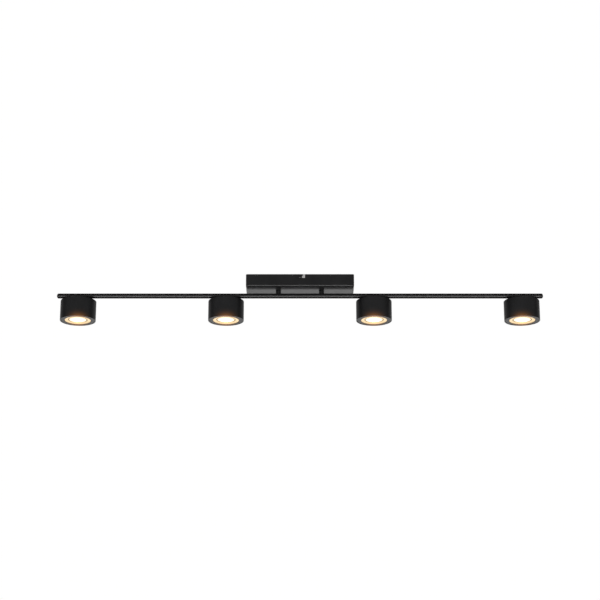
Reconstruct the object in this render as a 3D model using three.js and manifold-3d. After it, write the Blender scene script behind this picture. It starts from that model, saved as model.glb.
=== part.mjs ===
// A ceiling light: a box canopy, two posts, one long rail and four drum-shaped LED heads that swivel
// and tilt. Millimetres, +Z up. The origin is the middle of the ceiling bracket's top face, which lies
// on the ceiling. X runs along the rail and the front faces -Y.

import * as THREE from "three";
import { mergeVertices } from "three/addons/utils/BufferGeometryUtils.js";
import Module from "manifold-3d";

const wasm = await Module();
wasm.setup();

// ---- Driving dimensions ----

const fit = 0.3; // play between pieces that touch or turn in each other

// Ceiling bracket: a strap with two tabs bent down at its middle and one at its right end.
const bracketLength = 180;
const bracketWidth = 24;
const bracketCornerRadius = 4;
const bracketSheet = 1.5;
const bracketTabWidth = 20;
const bracketTabDrop = 12;
const ceilingSlotSpacing = 124;
const ceilingSlotLength = 16;
const ceilingSlotWidth = 5.5;
const earthTabWidth = 14;
const earthTabDrop = 13;

// Canopy cover: an open-topped box of sheet steel.
const canopyLength = 212;
const canopyWidth = 65;
const canopyHeight = 25;
const canopySheet = 1.2;
const canopyCornerRadius = 3.5;
const canopyEdgeRadius = 3;
const canopyRimZ = -0.5;
const bayonetTravel = 7.7; // how far the cover slides along X to lock on its screws
const bayonetDepth = 5.5; // from the rim to the screws

// M4 pan-head screws of the canopy and the earth lead.
const screwRadius = 1.95;
const screwHeadRadius = 4;
const screwHeadHeight = 2.6;

// Rail, its end caps and the posts it hangs on.
const railLength = 959; // over the end caps
const railRadius = 5;
const railWall = 1;
const railZ = -35.2;
const endCapFlange = 4.2;
const endCapDome = 3.4;
const endCapPlug = 8;
const postSpacing = 85;
const postRadius = 5;
const postNeckRadius = 4;
const postBoreRadius = 3;
const nutWidth = 13;
const nutHeight = 4;
const postNeckLength = 6; // inside the canopy

// Heads, one drum each.
const headCount = 4;
const headSpacing = 291;
const headRadius = 35;
const headHeight = 39.8;
const headWall = 2;
const headTopZ = -46.4;
const frontRingInner = 25.6;
const frontRingRecess = 0.4;
const lensRadius = 18.4;
const boardRadius = 24;

// Neck of each head: a collar under the rail, a hollow stem and a tilt pivot inside the drum.
const collarRadius = 5;
const collarBottomZ = -43;
const spigotRadius = 2.4;
const spigotLipRadius = 3.1;
const stemRadius = 3.5;
const stemBoreRadius = 1.6;
const tonguePlate = 4;
const pivotDepth = 5.5; // from the drum's top face to the tilt axis
const neckSlotLength = 14.9;
const yokeSheet = 1.5;
const yokeArmRadius = 3.1;
const tiltScrewRadius = 1.5;

// Leads.
const leadRadius = 0.8;
const leadBend = 4;
const lowLeadZ = -14;
const highLeadZ = -11.7;
const railLeadOffset = 1; // two leads run above each other in the rail

// ---- Places that follow from the dimensions ----

const canopyBottomZ = canopyRimZ - canopyHeight;
const canopyFloorZ = canopyBottomZ + canopySheet;
const canopyScrewZ = canopyRimZ - bayonetDepth;
const tabOuterY = canopyWidth / 2 - canopySheet - 0.4;
const earthScrewZ = -7;
const earthTabX = bracketLength / 2;
const railBottomZ = railZ - railRadius;
const pivotZ = headTopZ - pivotDepth;
const headBottomZ = headTopZ - headHeight;
const headInnerRadius = headRadius - headWall;
const yokeFloorZ = pivotZ - stemRadius - 0.5;
const heatSinkTopZ = yokeFloorZ - yokeSheet - fit;
const headXs = Array.from({ length: headCount }, (_, i) => (i - (headCount - 1) / 2) * headSpacing);

// ---- Finishes ----

function finish(color, roughness, metalness) {
  return new THREE.MeshStandardMaterial({ color, roughness, metalness });
}

const blackPaint = finish(0x161616, 0.35, 0);
const zincPlate = finish(0xb4b6b8, 0.35, 1);
const aluminium = finish(0xc3c5c8, 0.45, 1);
const steel = finish(0x8f9193, 0.3, 1);
const brass = finish(0xc9a24c, 0.35, 1);
const whitePlastic = finish(0xe9e9e5, 0.5, 0);
const frosted = finish(0xfff6e2, 0.4, 0);
const boardWhite = finish(0xf1f1ec, 0.5, 0);
const blackSleeve = finish(0x1d1d1f, 0.5, 0);
const earthSleeve = finish(0x7d9a2c, 0.5, 0);

// ---- Joining and cutting ----

function toSolid(geometry) {
  const bare = geometry.clone();
  bare.deleteAttribute("normal");
  bare.deleteAttribute("uv");
  const merged = mergeVertices(bare, 1e-4);
  const vertProperties = new Float32Array(merged.attributes.position.array);
  const triVerts = new Uint32Array(merged.index.array);
  return new wasm.Manifold(new wasm.Mesh({ numProp: 3, vertProperties, triVerts }));
}

function toGeometry(solid) {
  const { vertProperties, triVerts } = solid.getMesh();
  const geometry = new THREE.BufferGeometry();
  geometry.setAttribute("position", new THREE.BufferAttribute(vertProperties, 3));
  geometry.setIndex(new THREE.BufferAttribute(triVerts, 1));
  geometry.computeVertexNormals();
  return geometry;
}

function join(...pieces) {
  return toGeometry(pieces.map(toSolid).reduce((whole, piece) => whole.add(piece)));
}

function cut(body, ...tools) {
  return toGeometry(tools.map(toSolid).reduce((left, tool) => left.subtract(tool), toSolid(body)));
}

// ---- Basic shapes ----

function boxBetween(low, high) {
  const size = high.map((value, axis) => value - low[axis]);
  const middle = high.map((value, axis) => (value + low[axis]) / 2);
  return new THREE.BoxGeometry(...size).translate(...middle);
}

// A body turned about Z, from a profile of [radius, z] points.
function turned(profile, segments) {
  const points = profile.map(([radius, z]) => new THREE.Vector2(radius, z));
  return new THREE.LatheGeometry(points, segments).rotateX(Math.PI / 2);
}

// A round bar between two heights, standing on (x, y).
function upright(radius, lowZ, highZ, x = 0, y = 0, segments = 24) {
  const bar = new THREE.CylinderGeometry(radius, radius, highZ - lowZ, segments).rotateX(Math.PI / 2);
  return bar.translate(x, y, (lowZ + highZ) / 2);
}

// A round bar along X through (y, z).
function alongX(radius, lowX, highX, y, z, segments = 24) {
  const bar = new THREE.CylinderGeometry(radius, radius, highX - lowX, segments).rotateZ(Math.PI / 2);
  return bar.translate((lowX + highX) / 2, y, z);
}

// A round bar along Y through (x, z).
function alongY(radius, lowY, highY, x, z, segments = 24) {
  return new THREE.CylinderGeometry(radius, radius, highY - lowY, segments).translate(x, (lowY + highY) / 2, z);
}

function roundedRectangle(length, width, radius) {
  const right = length / 2 - radius;
  const top = width / 2 - radius;
  const shape = new THREE.Shape();
  shape.absarc(right, top, radius, 0, Math.PI / 2);
  shape.absarc(-right, top, radius, Math.PI / 2, Math.PI);
  shape.absarc(-right, -top, radius, Math.PI, Math.PI * 1.5);
  shape.absarc(right, -top, radius, Math.PI * 1.5, Math.PI * 2);
  return shape;
}

// A flat plate with rounded corners, lying between two heights.
function plate(length, width, radius, lowZ, highZ) {
  const options = { depth: highZ - lowZ, bevelEnabled: false, curveSegments: 3 };
  return new THREE.ExtrudeGeometry(roundedRectangle(length, width, radius), options).translate(0, 0, lowZ);
}

// A block with rounded upright corners and, round its bottom and top, rounded edges.
function softBlock(length, width, cornerRadius, edgeRadius, lowZ, highZ) {
  const options = {
    depth: highZ - lowZ - 2 * edgeRadius,
    bevelThickness: edgeRadius,
    bevelSize: edgeRadius,
    bevelOffset: -edgeRadius,
    bevelSegments: 3,
    curveSegments: 2,
  };
  const outline = roundedRectangle(length, width, cornerRadius);
  return new THREE.ExtrudeGeometry(outline, options).translate(0, 0, lowZ + edgeRadius);
}

// A pan-head screw with a cross recess. Its head rises from z = 0 and its shank hangs below.
function panHeadScrew(shankRadius, shankLength, headRadius, headHeight) {
  const body = turned(
    [
      [0, -shankLength],
      [shankRadius, -shankLength],
      [shankRadius, 0],
      [headRadius, 0],
      [headRadius, headHeight * 0.45],
      [headRadius * 0.8, headHeight * 0.85],
      [headRadius * 0.4, headHeight],
      [0, headHeight],
    ],
    12,
  );
  const reach = headRadius * 0.55;
  const width = headRadius * 0.11;
  const depth = headHeight * 0.5;
  return cut(
    body,
    boxBetween([-reach, -width, depth], [reach, width, headHeight + 1]),
    boxBetween([-width, -reach, depth], [width, reach, headHeight + 1]),
  );
}

// ---- Leads ----

// A route of straight runs joined by round bends, with its stations only where it bends.
class BentRoute extends THREE.Curve {
  constructor(corners, bendRadius, stepsPerBend = 3) {
    super();
    const points = corners.map((corner) => new THREE.Vector3(...corner));
    const headings = points.slice(1).map((point, i) => point.clone().sub(points[i]).normalize());
    this.stations = [{ point: points[0], heading: headings[0] }];
    for (let i = 1; i < points.length - 1; i++) {
      this.addBend(points[i], headings[i - 1], headings[i], bendRadius, stepsPerBend);
    }
    this.stations.push({ point: points.at(-1), heading: headings.at(-1) });
  }

  addBend(corner, before, after, radius, steps) {
    const turn = before.angleTo(after);
    const inward = after.clone().addScaledVector(before, -after.dot(before)).normalize();
    const start = corner.clone().addScaledVector(before, -radius * Math.tan(turn / 2));
    for (let step = 0; step <= steps; step++) {
      const angle = (turn * step) / steps;
      const point = start.clone().addScaledVector(before, radius * Math.sin(angle));
      point.addScaledVector(inward, radius * (1 - Math.cos(angle)));
      const heading = before.clone().multiplyScalar(Math.cos(angle)).addScaledVector(inward, Math.sin(angle));
      this.stations.push({ point, heading });
    }
  }

  get steps() {
    return this.stations.length - 1;
  }

  getPointAt(u, target = new THREE.Vector3()) {
    return target.copy(this.stations[Math.round(u * this.steps)].point);
  }

  getTangentAt(u, target = new THREE.Vector3()) {
    return target.copy(this.stations[Math.round(u * this.steps)].heading);
  }
}

function lead(corners, bendRadius) {
  const route = new BentRoute(corners, bendRadius);
  const section = new THREE.Shape();
  section.absarc(0, 0, leadRadius, 0, Math.PI * 2);
  return new THREE.ExtrudeGeometry(section, { steps: route.steps, extrudePath: route, curveSegments: 4 });
}

// ---- Ceiling bracket and canopy ----

function ceilingBracket() {
  const tabHalf = bracketTabWidth / 2;
  const tabInnerY = tabOuterY - bracketSheet;
  const strap = plate(bracketLength, bracketWidth, bracketCornerRadius, -bracketSheet, 0);
  const wings = boxBetween([-tabHalf, -tabOuterY, -bracketSheet], [tabHalf, tabOuterY, 0]);
  const frontTab = boxBetween([-tabHalf, -tabOuterY, -bracketTabDrop], [tabHalf, -tabInnerY, 0]);
  const rearTab = boxBetween([-tabHalf, tabInnerY, -bracketTabDrop], [tabHalf, tabOuterY, 0]);
  const earthTab = boxBetween(
    [earthTabX - bracketSheet, -earthTabWidth / 2, -earthTabDrop],
    [earthTabX, earthTabWidth / 2, 0],
  );
  const holeRadius = screwRadius + fit;
  const screwHoles = alongY(holeRadius, -canopyWidth, canopyWidth, 0, canopyScrewZ, 16);
  const earthHole = alongX(holeRadius, earthTabX - 10, earthTabX + 10, 0, earthScrewZ, 16);
  const slots = [-1, 1].map((side) =>
    plate(ceilingSlotLength, ceilingSlotWidth, ceilingSlotWidth / 2 - 0.01, -10, 10).translate(
      (side * ceilingSlotSpacing) / 2,
      0,
      0,
    ),
  );
  return cut(join(strap, wings, frontTab, rearTab, earthTab), screwHoles, earthHole, ...slots);
}

// The L-shaped slots of the front and rear walls, as one cutter that runs through both.
function bayonetCutter() {
  const radius = screwRadius + fit;
  const entryX = bayonetTravel;
  const legEnd = alongY(radius, -canopyWidth, canopyWidth, 0, canopyScrewZ, 16);
  const leg = boxBetween(
    [0, -canopyWidth, canopyScrewZ - radius],
    [entryX + radius, canopyWidth, canopyScrewZ + radius],
  );
  const entry = boxBetween(
    [entryX - radius, -canopyWidth, canopyScrewZ - radius],
    [entryX + radius, canopyWidth, 10],
  );
  return join(legEnd, leg, entry);
}

function canopyCover() {
  const tall = 20; // both blocks run past the rim, where the cover is cut off flat
  const outer = softBlock(
    canopyLength,
    canopyWidth,
    canopyCornerRadius,
    canopyEdgeRadius,
    canopyBottomZ,
    canopyRimZ + tall,
  );
  const inner = softBlock(
    canopyLength - 2 * canopySheet,
    canopyWidth - 2 * canopySheet,
    canopyCornerRadius - canopySheet,
    canopyEdgeRadius - canopySheet,
    canopyFloorZ,
    canopyRimZ + tall + 1,
  );
  const aboveRim = boxBetween([-200, -100, canopyRimZ], [200, 100, 100]);
  const postHoles = [-1, 1].map((side) =>
    upright(postNeckRadius + fit, canopyBottomZ - 5, canopyFloorZ + 5, (side * postSpacing) / 2),
  );
  return cut(outer, inner, aboveRim, bayonetCutter(), ...postHoles);
}

// side is -1 for the front screw and 1 for the rear one.
function canopyScrew(side) {
  const headSeat = canopyWidth / 2 + fit;
  const shankLength = headSeat - (tabOuterY - bracketSheet) + 2.5;
  const screw = panHeadScrew(screwRadius, shankLength, screwHeadRadius, screwHeadHeight);
  return screw.rotateX((-side * Math.PI) / 2).translate(0, side * headSeat, canopyScrewZ);
}

// ---- Posts and rail ----

function railClearance() {
  return alongX(railRadius + fit, -600, 600, 0, railZ, 32);
}

// A hollow post, notched at its foot to sit on the rail, with a threaded neck through the canopy's floor.
function post() {
  const shoulderZ = canopyBottomZ - fit;
  const neckTopZ = canopyFloorZ + postNeckLength;
  const footZ = railZ + 3;
  const body = turned(
    [
      [0, footZ],
      [postRadius, footZ],
      [postRadius, shoulderZ],
      [postNeckRadius, shoulderZ],
      [postNeckRadius, neckTopZ],
      [0, neckTopZ],
    ],
    24,
  );
  return cut(body, upright(postBoreRadius, footZ - 5, neckTopZ + 5, 0, 0, 16), railClearance());
}

function postNut() {
  const lowZ = canopyFloorZ + fit;
  const cornerRadius = nutWidth / Math.sqrt(3);
  const hexagon = upright(cornerRadius, lowZ, lowZ + nutHeight, 0, 0, 6);
  return cut(hexagon, upright(postNeckRadius + fit, lowZ - 1, lowZ + nutHeight + 1));
}

function railTube() {
  const halfTube = railLength / 2 - endCapFlange - fit;
  const holeRadius = postBoreRadius + fit;
  const body = alongX(railRadius, -halfTube, halfTube, 0, railZ, 32);
  const bore = alongX(railRadius - railWall, -halfTube - 1, halfTube + 1, 0, railZ, 32);
  const postHoles = [-1, 1].map((side) =>
    upright(holeRadius, railZ, railZ + 10, (side * postSpacing) / 2, 0, 16),
  );
  const headHoles = headXs.map((x) => upright(holeRadius + 0.1, railZ - 10, railZ, x, 0, 16));
  return cut(body, bore, ...postHoles, ...headHoles);
}

// side is -1 for the left cap and 1 for the right one.
function endCap(side) {
  const flangeStart = railLength / 2 - endCapFlange;
  const domeStart = railLength / 2 - endCapDome;
  const plugRadius = railRadius - railWall - fit;
  const domeSteps = 4;
  const dome = Array.from({ length: domeSteps }, (_, i) => {
    const angle = (i / domeSteps) * (Math.PI / 2);
    return [railRadius * Math.cos(angle), domeStart + endCapDome * Math.sin(angle)];
  });
  const cap = turned(
    [
      [0, flangeStart - endCapPlug],
      [plugRadius, flangeStart - endCapPlug],
      [plugRadius, flangeStart],
      [railRadius, flangeStart],
      ...dome,
      [0, railLength / 2],
    ],
    24,
  );
  return cap.rotateY((side * Math.PI) / 2).translate(0, 0, railZ);
}

// ---- Electrical pieces in the canopy ----

const driverLength = 104;
const driverWidth = 18;
const driverHeight = 14;
const driverX = -6;
const driverY = 17;
const driverLeftX = driverX - driverLength / 2;
const driverRightX = driverX + driverLength / 2;

function ledDriver() {
  const lowZ = canopyFloorZ + fit;
  return softBlock(driverLength, driverWidth, 2.5, 1, lowZ, lowZ + driverHeight).translate(driverX, driverY, 0);
}

const terminalX = 78.5;
const terminalLength = 17;
const terminalWidth = 28;
const terminalHeight = 11;
const terminalPitch = 9.3;
const terminalWireZ = canopyFloorZ + 4.8;
const terminalPoles = [-terminalPitch, 0, terminalPitch];

// Three poles in a row, with a wire hole through each and a screw hole from above.
function terminalBlock() {
  const lowZ = canopyFloorZ + fit;
  const halfLength = terminalLength / 2;
  const stepZ = lowZ + terminalHeight * 0.6;
  const base = boxBetween(
    [terminalX - halfLength, -terminalWidth / 2, lowZ],
    [terminalX + halfLength, terminalWidth / 2, stepZ],
  );
  const towers = terminalPoles.map((y) =>
    boxBetween([terminalX - 5, y - 3.6, stepZ - 1], [terminalX + 5, y + 3.6, lowZ + terminalHeight]),
  );
  const wireHoles = terminalPoles.map((y) =>
    alongX(1.5, terminalX - halfLength - 1, terminalX + halfLength + 1, y, terminalWireZ, 8),
  );
  const screwHoles = terminalPoles.map((y) =>
    upright(2, terminalWireZ, lowZ + terminalHeight + 1, terminalX, y, 8),
  );
  return cut(join(base, ...towers), ...wireHoles, ...screwHoles);
}

const earthHeadRadius = 3.6;
const earthHeadHeight = 2.4;
const lugSheet = 0.8;
const lugRadius = 3.4;
const lugTailHalf = 1.4;
const lugX = earthTabX + fit;
const lugFootZ = earthScrewZ - 5.5;

function earthScrew() {
  const headSeat = lugX + lugSheet + fit;
  const shankLength = headSeat - earthTabX + bracketSheet + 3;
  const screw = panHeadScrew(screwRadius, shankLength, earthHeadRadius, earthHeadHeight);
  return screw.rotateY(Math.PI / 2).translate(headSeat, 0, earthScrewZ);
}

// A short green and yellow lead with a ring lug on the earth screw, down to the terminal's middle pole.
function earthLead() {
  const wireX = lugX + leadRadius;
  const ring = alongX(lugRadius, lugX, lugX + lugSheet, 0, earthScrewZ, 16);
  const tail = boxBetween([lugX, -lugTailHalf, lugFootZ], [lugX + lugSheet, lugTailHalf, earthScrewZ]);
  const hole = alongX(screwRadius + fit, lugX - 1, lugX + 2, 0, earthScrewZ, 12);
  const wire = lead(
    [
      [wireX, 0, lugFootZ + 1],
      [wireX, 0, terminalWireZ],
      [terminalX + terminalLength / 2 - 2, 0, terminalWireZ],
    ],
    3.2,
  );
  return join(cut(join(ring, tail), hole), wire);
}

function mainsLead() {
  const turnX = driverRightX + 10;
  return lead(
    [
      [driverRightX + fit, driverY, terminalWireZ],
      [turnX, driverY, terminalWireZ],
      [turnX, terminalPitch, terminalWireZ],
      [terminalX - terminalLength / 2 + 2, terminalPitch, terminalWireZ],
    ],
    3.6,
  );
}

// Each lead leaves the driver's left end, crosses the canopy, drops through a post, runs along the rail
// and ends in a stem. The lead of an outer head runs above the lead of its inner neighbour.
function headLead(index) {
  const headX = headXs[index];
  const side = Math.sign(headX);
  const isOuter = index === 0 || index === headCount - 1;
  const offset = isOuter ? railLeadOffset : -railLeadOffset;
  const postX = side * (postSpacing / 2 + offset * 1.1);
  const railLeadZ = railZ + offset;
  const crossesLow = index === 0 || index === 2;
  const canopyZ = crossesLow ? lowLeadZ : highLeadZ;
  const exitY = driverY - 5 + index * 3;
  const turnX = driverLeftX - 5.7 - index * 3.6;
  const start = [
    [driverLeftX - fit, exitY, canopyZ],
    [turnX, exitY, canopyZ],
  ];
  const step = index === 2 ? 0 : 3; // keeps the two leads that cross the front apart
  const frontY = -14 - step;
  const nearPostX = 29 - step;
  const acrossFront = [
    [turnX, frontY, canopyZ],
    [nearPostX, frontY, canopyZ],
    [nearPostX, 0, canopyZ],
  ];
  const end = [
    [postX, 0, canopyZ],
    [postX, 0, railLeadZ],
    [headX, 0, railLeadZ],
    [headX, 0, headTopZ - 1],
  ];
  const middle = side < 0 ? [[turnX, 0, canopyZ]] : acrossFront;
  return lead([...start, ...middle, ...end], leadBend);
}

// ---- Neck of a head, at x = 0 under the rail ----

function neckCollar() {
  const topZ = railBottomZ + 1.6;
  const ledgeZ = railBottomZ - fit;
  const body = upright(collarRadius, collarBottomZ, topZ, 0, 0, 16);
  const bore = upright(spigotRadius + fit, collarBottomZ - 1, topZ + 1, 0, 0, 12);
  const counterbore = upright(spigotLipRadius + fit, ledgeZ, topZ + 1, 0, 0, 12);
  return cut(body, railClearance(), bore, counterbore);
}

// A hollow stem. Its spigot turns in the collar, held by a flared lip, and its flat tongue hangs in the drum.
function swivelStem() {
  const lipZ = railBottomZ;
  const lipHeight = 0.7;
  const neckZ = collarBottomZ - fit;
  const shoulderZ = pivotZ + stemRadius;
  const windowZ = pivotZ + tiltScrewRadius + fit + 0.7;
  const turnedPart = turned(
    [
      [0, shoulderZ],
      [stemRadius, shoulderZ],
      [stemRadius, neckZ],
      [spigotRadius, neckZ],
      [spigotRadius, lipZ],
      [spigotLipRadius, lipZ],
      [spigotLipRadius, lipZ + lipHeight],
      [0, lipZ + lipHeight],
    ],
    16,
  );
  const half = tonguePlate / 2;
  const tongue = boxBetween([-half, -stemRadius, pivotZ], [half, stemRadius, shoulderZ + 1]);
  const tongueEnd = alongX(stemRadius, -half, half, 0, pivotZ, 16);
  const bore = upright(stemBoreRadius, windowZ, lipZ + 5, 0, 0, 12);
  const windowHalf = half - 0.7;
  const leadWindow = boxBetween([-windowHalf, 0, windowZ], [windowHalf, stemRadius + 1, shoulderZ]);
  const crossHole = alongX(tiltScrewRadius + fit, -5, 5, 0, pivotZ, 12);
  return cut(join(turnedPart, tongue, tongueEnd), bore, leadWindow, crossHole);
}

// One arm of the yoke, in the plane of Y and Z, from the yoke's floor up round the pivot.
function yokeArm(innerX) {
  const shape = new THREE.Shape();
  shape.moveTo(-yokeArmRadius, yokeFloorZ - yokeSheet / 2);
  shape.lineTo(yokeArmRadius, yokeFloorZ - yokeSheet / 2);
  shape.absarc(0, pivotZ, yokeArmRadius, 0, Math.PI);
  const options = { depth: yokeSheet, bevelEnabled: false, curveSegments: 4 };
  const arm = new THREE.ExtrudeGeometry(shape, options);
  const standUp = new THREE.Matrix4().makeBasis(
    new THREE.Vector3(0, 1, 0),
    new THREE.Vector3(0, 0, 1),
    new THREE.Vector3(1, 0, 0),
  );
  return arm.applyMatrix4(standUp).translate(innerX, 0, 0);
}

// A U-shaped bracket, riveted to the heat sink, whose arms stand beside the tongue.
function tiltYoke() {
  const armX = tonguePlate / 2 + fit;
  const halfLength = 9.5;
  const halfWidth = 6;
  const floor = boxBetween(
    [-halfLength, -halfWidth, yokeFloorZ - yokeSheet],
    [halfLength, halfWidth, yokeFloorZ],
  );
  const rivetRadius = 1.8;
  const rivetX = 7;
  const rivets = [-1, 1].map((side) =>
    upright(rivetRadius, yokeFloorZ - 0.5, yokeFloorZ + 0.7, side * rivetX, 0, 8),
  );
  const hole = alongX(tiltScrewRadius + fit, -10, 10, 0, pivotZ, 12);
  return cut(join(floor, yokeArm(armX), yokeArm(-armX - yokeSheet), ...rivets), hole);
}

function tiltScrew() {
  const armOuterX = tonguePlate / 2 + fit + yokeSheet;
  const headSeat = armOuterX + fit;
  const screw = panHeadScrew(tiltScrewRadius, headSeat + armOuterX + 1, 2.7, 1.8);
  return screw.rotateY(Math.PI / 2).translate(headSeat, 0, pivotZ);
}

// ---- Head, at x = 0 under the rail ----

function headHousing() {
  const ceilingZ = headTopZ - headWall;
  const shell = turned(
    [
      [0, ceilingZ],
      [headInnerRadius, ceilingZ],
      [headInnerRadius, headBottomZ],
      [headRadius - 0.5, headBottomZ],
      [headRadius, headBottomZ + 0.5],
      [headRadius, headTopZ - 1],
      [headRadius - 1, headTopZ],
      [0, headTopZ],
    ],
    32,
  );
  const slotWidth = 2 * (stemRadius + fit);
  const slot = plate(neckSlotLength, slotWidth, slotWidth / 2 - 0.01, ceilingZ - 3, headTopZ + 3);
  return cut(shell, slot.rotateZ(Math.PI / 2));
}

function frontRing() {
  const faceZ = headBottomZ + frontRingRecess;
  const outer = headInnerRadius - fit;
  return turned(
    [
      [frontRingInner, faceZ],
      [outer, faceZ],
      [outer, faceZ + 3],
      [frontRingInner, faceZ + 3],
      [frontRingInner, faceZ],
    ],
    32,
  );
}

// A shallow cone round the lens, with a skirt that centres it in the front ring.
function reflector() {
  const outer = frontRingInner - fit;
  const inner = lensRadius + fit;
  const faceZ = headBottomZ + 0.8;
  return turned(
    [
      [inner, faceZ + 1.4],
      [outer - 0.4, faceZ],
      [outer, faceZ],
      [outer, faceZ + 6],
      [outer - 1.2, faceZ + 6],
      [outer - 1.2, faceZ + 2.4],
      [inner, faceZ + 3],
      [inner, faceZ + 1.4],
    ],
    24,
  );
}

// A frosted disc with a slightly domed face.
function lens() {
  const rimZ = headBottomZ + 2.4;
  const dome = 1.2;
  return turned(
    [
      [0, rimZ - dome],
      [lensRadius * 0.4, rimZ - dome * 0.84],
      [lensRadius * 0.75, rimZ - dome * 0.44],
      [lensRadius, rimZ],
      [lensRadius, rimZ + 1.6],
      [0, rimZ + 1.6],
    ],
    24,
  );
}

const boardFaceZ = headBottomZ + 9;
const boardThickness = 1.6;

// A round board with six LED packages in a circle.
function ledBoard() {
  const disc = upright(boardRadius, boardFaceZ, boardFaceZ + boardThickness, 0, 0, 24);
  const packages = Array.from({ length: 6 }, (_, i) => {
    const chip = boxBetween([8, -1.5, boardFaceZ - 0.8], [11, 1.5, boardFaceZ + 0.5]);
    return chip.rotateZ((i * Math.PI) / 3);
  });
  return join(disc, ...packages);
}

// A disc that touches the drum's wall, with a boss for the yoke and eight radial fins.
function heatSink() {
  const lowZ = boardFaceZ + boardThickness + fit;
  const discTopZ = lowZ + 3.5;
  const disc = upright(headInnerRadius - fit, lowZ, discTopZ, 0, 0, 32);
  const boss = upright(11, discTopZ - 1, heatSinkTopZ, 0, 0, 16);
  const finCount = 8;
  const finHalf = 0.8;
  const fins = Array.from({ length: finCount }, (_, i) => {
    const fin = boxBetween([9, -finHalf, discTopZ - 1], [31, finHalf, heatSinkTopZ - 3]);
    return fin.rotateZ(((i + 0.5) * 2 * Math.PI) / finCount);
  });
  return join(disc, boss, ...fins);
}

// ---- Assembly ----

const fixture = new THREE.Group();

function addPiece(parent, name, geometry, material, x = 0) {
  const mesh = new THREE.Mesh(geometry, material);
  mesh.name = name;
  mesh.position.x = x;
  parent.add(mesh);
}

addPiece(fixture, "ceiling_bracket", ceilingBracket(), zincPlate);
addPiece(fixture, "canopy_cover", canopyCover(), blackPaint);
addPiece(fixture, "canopy_screw_front", canopyScrew(-1), blackPaint);
addPiece(fixture, "canopy_screw_rear", canopyScrew(1), blackPaint);
addPiece(fixture, "rail_tube", railTube(), blackPaint);
for (const [sideName, side] of [["left", -1], ["right", 1]]) {
  const postX = (side * postSpacing) / 2;
  addPiece(fixture, `post_${sideName}`, post(), blackPaint, postX);
  addPiece(fixture, `post_nut_${sideName}`, postNut(), zincPlate, postX);
  addPiece(fixture, `end_cap_${sideName}`, endCap(side), blackPaint);
}
addPiece(fixture, "led_driver", ledDriver(), whitePlastic);
addPiece(fixture, "terminal_block", terminalBlock(), whitePlastic);
addPiece(fixture, "earth_screw", earthScrew(), brass);
addPiece(fixture, "earth_lead", earthLead(), earthSleeve);
addPiece(fixture, "mains_lead", mainsLead(), whitePlastic);

const headPieces = [
  ["neck_collar", neckCollar(), blackPaint],
  ["swivel_stem", swivelStem(), blackPaint],
  ["tilt_yoke", tiltYoke(), zincPlate],
  ["tilt_screw", tiltScrew(), steel],
  ["head_housing", headHousing(), blackPaint],
  ["front_ring", frontRing(), blackPaint],
  ["reflector", reflector(), frosted],
  ["lens", lens(), frosted],
  ["led_board", ledBoard(), boardWhite],
  ["heat_sink", heatSink(), aluminium],
];
headXs.forEach((headX, index) => {
  const number = index + 1;
  addPiece(fixture, `lead_${number}`, headLead(index), blackSleeve);
  const head = new THREE.Group();
  head.position.x = headX;
  for (const [name, geometry, material] of headPieces) {
    addPiece(head, `${name}_${number}`, geometry, material);
  }
  fixture.add(head);
});

export default fixture;
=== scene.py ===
import math

import bmesh
import bpy
from mathutils import Matrix, Vector


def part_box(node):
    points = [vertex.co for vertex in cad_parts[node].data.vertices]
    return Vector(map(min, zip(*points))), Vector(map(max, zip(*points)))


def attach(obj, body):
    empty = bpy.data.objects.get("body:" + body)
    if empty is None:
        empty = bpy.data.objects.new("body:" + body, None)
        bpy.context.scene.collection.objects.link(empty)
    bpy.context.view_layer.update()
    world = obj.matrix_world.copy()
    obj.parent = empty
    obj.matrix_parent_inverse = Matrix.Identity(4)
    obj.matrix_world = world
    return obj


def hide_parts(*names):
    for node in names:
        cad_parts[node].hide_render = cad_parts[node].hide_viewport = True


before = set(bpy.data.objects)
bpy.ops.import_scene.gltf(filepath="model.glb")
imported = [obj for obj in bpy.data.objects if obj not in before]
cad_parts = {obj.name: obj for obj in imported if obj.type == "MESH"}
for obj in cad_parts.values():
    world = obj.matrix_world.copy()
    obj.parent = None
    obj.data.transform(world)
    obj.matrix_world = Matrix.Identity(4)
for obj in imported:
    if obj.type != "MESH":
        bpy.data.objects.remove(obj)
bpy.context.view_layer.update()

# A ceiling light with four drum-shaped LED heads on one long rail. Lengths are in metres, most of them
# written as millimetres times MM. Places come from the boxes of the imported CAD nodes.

MM = 0.001
HEADS = (1, 2, 3, 4)
SIDES = {"left": -1, "right": 1}
FIT = 0.3 * MM


def middle(node):
    low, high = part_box(node)
    return (Vector(low) + Vector(high)) / 2


# ---- Places and sizes, from the frame ----

DRUM_LOW, DRUM_HIGH = map(Vector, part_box("head_housing_1"))
DRUM_TOP = DRUM_HIGH.z
DRUM_BOTTOM = DRUM_LOW.z
DRUM_RADIUS = (DRUM_HIGH.x - DRUM_LOW.x) / 2
DRUM_WALL = 2 * MM
HEAD_X = {n: middle(f"head_housing_{n}").x for n in HEADS}

RAIL_LOW, RAIL_HIGH = map(Vector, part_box("rail_tube"))
RAIL_RADIUS = (RAIL_HIGH.z - RAIL_LOW.z) / 2
RAIL_Z = (RAIL_HIGH.z + RAIL_LOW.z) / 2
RAIL_WALL = 1 * MM

CANOPY_LOW, CANOPY_HIGH = map(Vector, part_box("canopy_cover"))
CANOPY_SIZE = CANOPY_HIGH - CANOPY_LOW
SHEET = 1.2 * MM
CORNER_RADIUS = 3.5 * MM
EDGE_RADIUS = 3 * MM
BAYONET_TRAVEL = 7.7 * MM
SLOT_RADIUS = 2.25 * MM
COVER_SCREW_Z = middle("canopy_screw_front").z

POST_X = {name: middle(f"post_{name}").x for name in SIDES}
POST_LOW, POST_HIGH = map(Vector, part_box("post_left"))
POST_NECK_RADIUS = 4 * MM
POST_BORE_RADIUS = 3 * MM

SCREW_RADIUS = 1.95 * MM


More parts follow.
